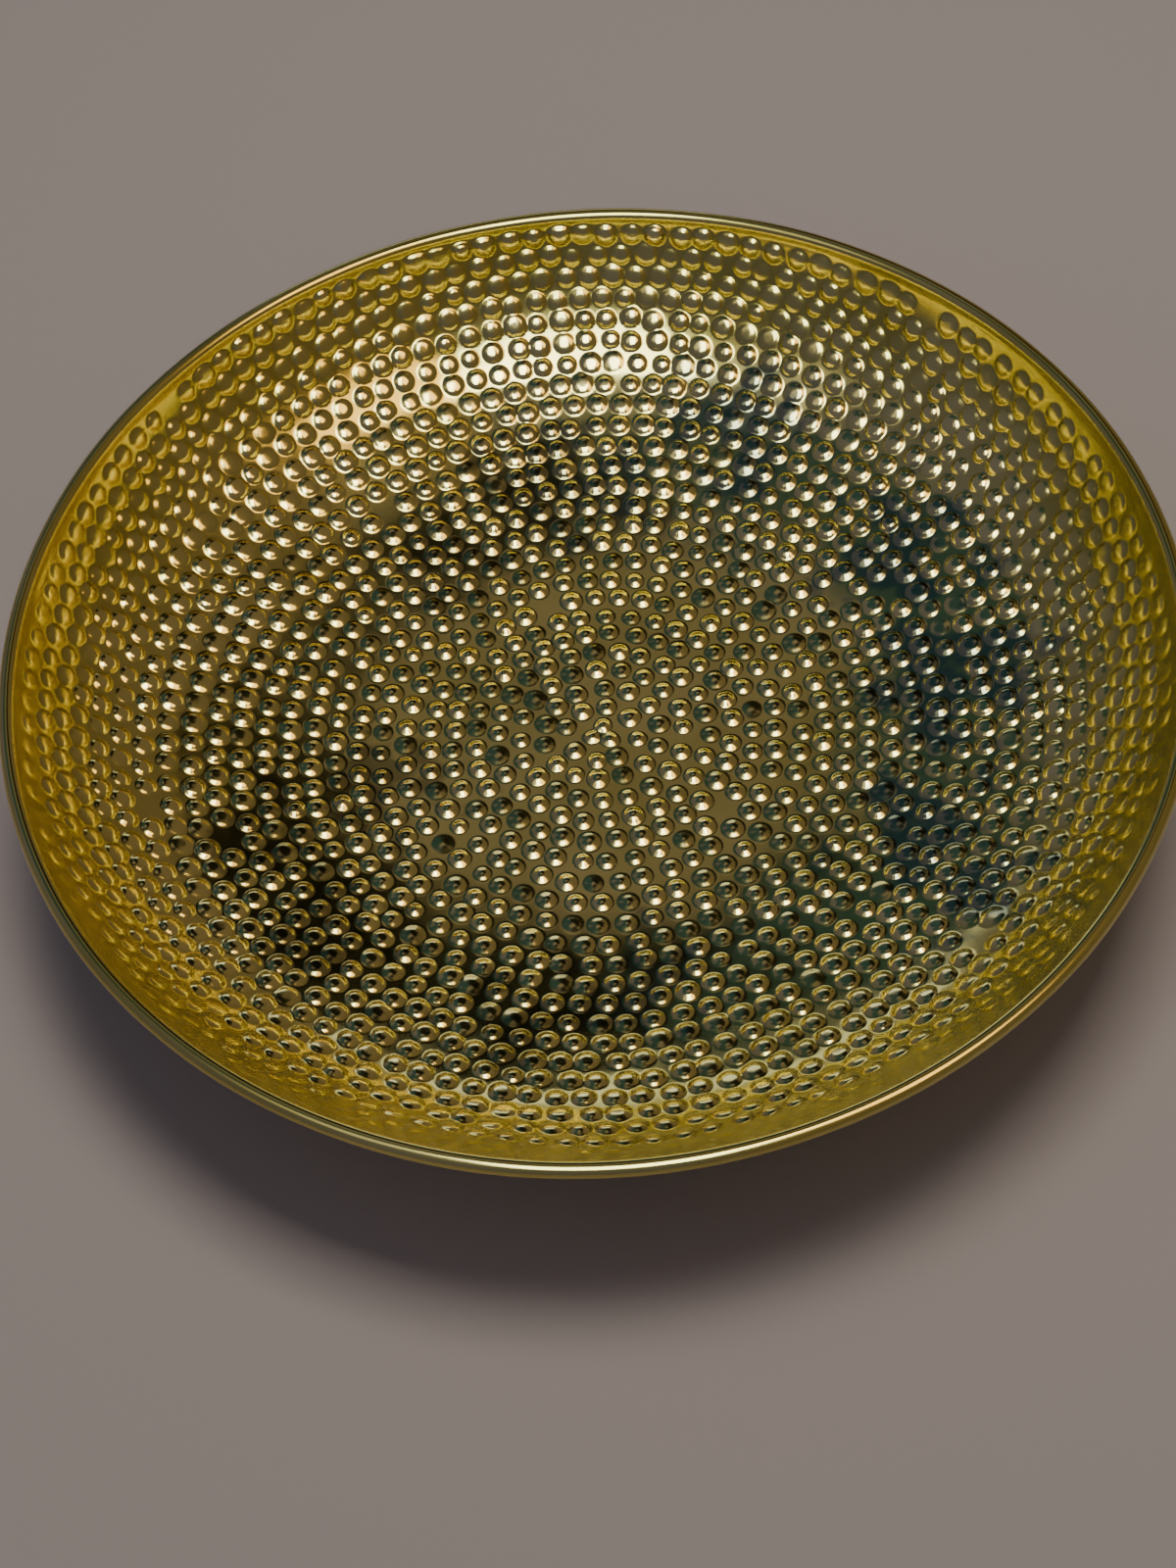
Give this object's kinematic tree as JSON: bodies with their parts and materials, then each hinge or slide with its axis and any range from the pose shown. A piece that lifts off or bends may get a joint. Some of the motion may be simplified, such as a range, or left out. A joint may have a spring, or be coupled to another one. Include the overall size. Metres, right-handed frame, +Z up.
{
  "type": "hammered brass serving tray",
  "caption": "Round hammered brass serving tray with a gently dished floor, curved sloping wall and a wired, rolled rim bead.",
  "frame": {"origin": "middle of the flat resting face under the floor", "axes": "+Z up along the tray's axis, from the resting face through the open rim; X and Y are any two level directions"},
  "size_m": [0.35, 0.35, 0.0586],
  "materials": {
    "hammered_brass": "polished, hammered all over the inside, lightly tarnished in the hollows",
    "steel_wire": "plain drawn wire, dull"
  },
  "bodies": {
    "root": {"dish": "hammered_brass", "rim_wire": "steel_wire"}
  },
  "joints": []
}
